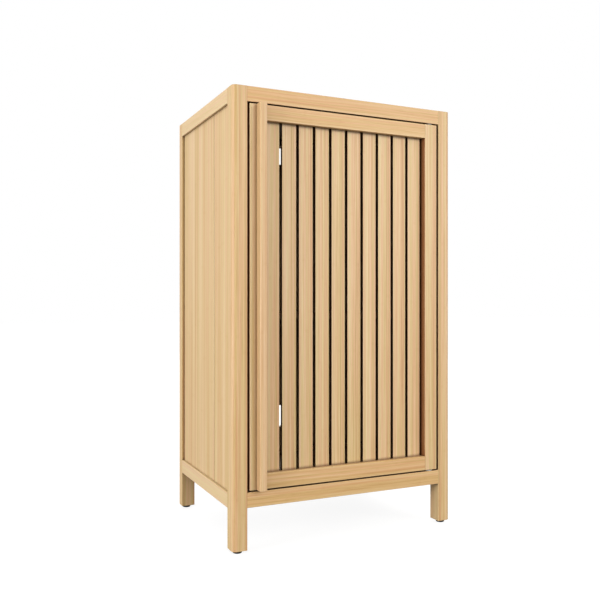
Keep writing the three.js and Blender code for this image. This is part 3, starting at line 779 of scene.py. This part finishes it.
# Flat pieces that keep their own solid: how far its edges are eased, and the material.
FLAT = {
    "catch_body": (0.5 * MM, WHITE),
    "catch_magnet": (0.3 * MM, FERRITE),
    "strike_plate": (0.15 * MM, STEEL),
}


def make_hardware():
    for node in SLOTS:
        for words, (profile, axis, direction, material, socket) in TURNED.items():
            if words in node:
                turned_piece(node, profile, axis, direction, material, socket)
    for node, (ease, material) in FLAT.items():
        finish_piece(eased_copy(node, ease), node, material)


# ======== Studio ========

# The viewpoint of the picture that the cabinet was made from, level and turned to its right.
CAMERA_PLACE = (-0.602, -1.2444, 0.4065)
CAMERA_TURN = math.radians(-24.985)
CAMERA_LENS = 43.775
SENSOR = 36.0

FLOOR_HALF = 12.0
FLOOR_WHITE = 0.25              # what the floor gives back of the light on it
FLOOR_GLOW = 0.88               # what it shows the camera besides, so that it stays pale
FLOOR_ROUGHNESS = 0.9
SKY_SEEN = 1.0                  # the white surround behind the cabinet
SKY_FILL = 0.58                 # the same, as it lights the cabinet
SKY_DEEP = 0.12                 # the same, after light has gone from one surface to another
DEEP = 1.5                      # more bounces off a rough surface than this are deep
SKY_TINT = (1, 0.955, 0.89, 1)
BOUNCES = 1                     # how often the softboxes' light goes on from a surface
SOFTBOXES = {
    "key": {"place": (1.7, -2.7, 1.2), "size": 2.0, "glow": 0.515, "tint": (1, 1, 1)},
    "fill": {"place": (-2.0, -2.8, 1.3), "size": 3.0, "glow": 0.15, "tint": (1, 0.93, 0.84)},
    "side": {"place": (-3.4, -0.8, 0.75), "size": 1.4, "glow": 0.6, "tint": (1, 1, 1)},
    "back": {"place": (1.9, 2.9, 1.9), "size": 2.2, "glow": 0.42, "tint": (1, 1, 1)},
}


def add_camera():
    data = bpy.data.cameras.new("camera")
    data.lens = CAMERA_LENS
    data.sensor_width = SENSOR
    camera = new_object("camera", data)
    camera.location = CAMERA_PLACE
    camera.rotation_euler = (math.pi / 2, 0, CAMERA_TURN)
    bpy.context.scene.camera = camera


def add_floor():
    mesh = bpy.data.meshes.new("floor")
    corners = [(x * FLOOR_HALF, y * FLOOR_HALF, 0) for x, y in ((-1, -1), (1, -1), (1, 1), (-1, 1))]
    mesh.from_pydata(corners, [], [(0, 1, 2, 3)])
    floor = new_object("floor", mesh)
    shader = Shader("floor")
    seen = shader.add("ShaderNodeLightPath").outputs["Is Camera Ray"]
    shader.give(
        Base_Color=grey(FLOOR_WHITE),
        Roughness=FLOOR_ROUGHNESS,
        Specular_IOR_Level=0.0,
        Emission_Color=grey(1.0),
        Emission_Strength=shader.math("MULTIPLY", seen, FLOOR_GLOW),
    )
    mesh.materials.append(shader.material)


def add_sky():
    """A white surround, which lights the cabinet less than it shows."""
    world = bpy.data.worlds.new("studio")
    world.use_nodes = True
    nodes = Nodes(world.node_tree)
    background = world.node_tree.nodes["Background"]
    path = nodes.add("ShaderNodeLightPath").outputs
    seen = path["Is Camera Ray"]
    deep = nodes.math("GREATER_THAN", path["Diffuse Depth"], DEEP)
    lit = nodes.choose(deep, SKY_FILL, SKY_DEEP)
    nodes.feed(background.inputs["Strength"], nodes.choose(seen, lit, SKY_SEEN))
    nodes.feed(background.inputs["Color"], nodes.mix(seen, SKY_TINT, grey(1.0)))
    bpy.context.scene.world = world
    bpy.context.scene.view_settings.view_transform = "Standard"


def softbox(name, place, size, glow, tint):
    """A square light aimed at the cabinet's middle. Its glow is how white it makes a white card there."""
    low, high = cad_box
    aim = (low + high) / 2 - Vector(place)
    data = bpy.data.lights.new(name, "AREA")
    data.shape = "SQUARE"
    data.size = size
    data.energy = glow * math.pi ** 2 * aim.length_squared
    data.color = tint
    data.cycles.max_bounces = BOUNCES
    light = new_object(name, data)
    light.location = place
    light.rotation_euler = aim.to_track_quat("-Z", "Y").to_euler()


add_camera()
add_floor()
add_sky()
for name, settings in SOFTBOXES.items():
    softbox(name, **settings)
make_wood()
make_hardware()
